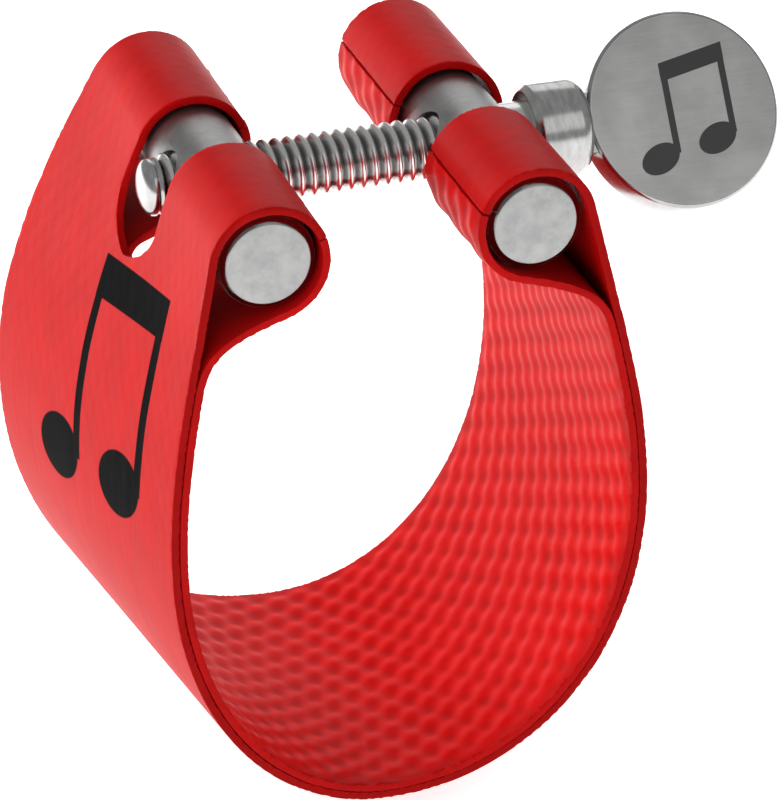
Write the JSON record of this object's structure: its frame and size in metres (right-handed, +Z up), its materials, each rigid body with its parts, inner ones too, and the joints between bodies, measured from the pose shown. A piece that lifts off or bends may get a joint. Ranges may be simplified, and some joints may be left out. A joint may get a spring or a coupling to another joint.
{
  "type": "saxophone ligature",
  "caption": "Soft red ligature band with end loops round two metal rods, drawn together by a threaded thumbscrew with a round finger disc.",
  "frame": {"origin": "centre of the bore that the mouthpiece passes through, midway along the band's width, 17 mm below the line of the screw", "axes": "+X along the screw towards the thumb disc, +Y along the mouthpiece towards its shank, +Z up, so the screw is on top"},
  "size_m": [0.0423, 0.025, 0.0408],
  "materials": {
    "cover_leather": "smooth coated red leather, low sheen, faint creases",
    "lining_rubber": "red rubber embossed with rows of small raised scales",
    "satin_nickel": "satin nickel plate on turned brass",
    "bright_nickel": "bright nickel plate",
    "disc_nickel": "fine satin nickel faces with a polished rim"
  },
  "bodies": {
    "band_right": {"cover_right": "cover_leather", "lining_right": "lining_rubber"},
    "band_left": {"cover_left": "cover_leather", "lining_left": "lining_rubber"},
    "right_barrel": {"right_rod": "satin_nickel"},
    "left_barrel": {"left_rod": "satin_nickel"},
    "thumbscrew": {"screw": "bright_nickel", "end_stop": "bright_nickel", "collar": "bright_nickel", "thumb_disc": "disc_nickel"}
  },
  "joints": [
    {"name": "right_barrel_turn", "type": "hinge", "parent": "band_right", "child": "right_barrel", "pos_m": [0.00735, 0, 0.017], "axis": [0, 1, 0], "range_deg": [0, 5.5]},
    {"name": "thumbscrew_turn", "type": "hinge", "parent": "right_barrel", "child": "thumbscrew", "pos_m": [0.00735, -0.001, 0.017], "axis": [-1, 0, 0], "range_deg": [0, 3960]},
    {"name": "left_barrel_travel", "type": "slide", "parent": "right_barrel", "child": "left_barrel", "axis": [1, 0, 0], "range_m": [0, 0.0077]},
    {"name": "band_flex", "type": "hinge", "parent": "band_right", "child": "band_left", "pos_m": [-0.0006, 0, -0.01618], "axis": [0, 1, 0], "range_deg": [0, 13.2]}
  ],
  "couplings": [
    {"joint": "thumbscrew_turn", "follows": "left_barrel_travel", "rad_per_m": 8976},
    {"joint": "right_barrel_turn", "follows": "left_barrel_travel", "rad_per_m": 12.376},
    {"joint": "band_flex", "follows": "left_barrel_travel", "rad_per_m": 29.829}
  ]
}
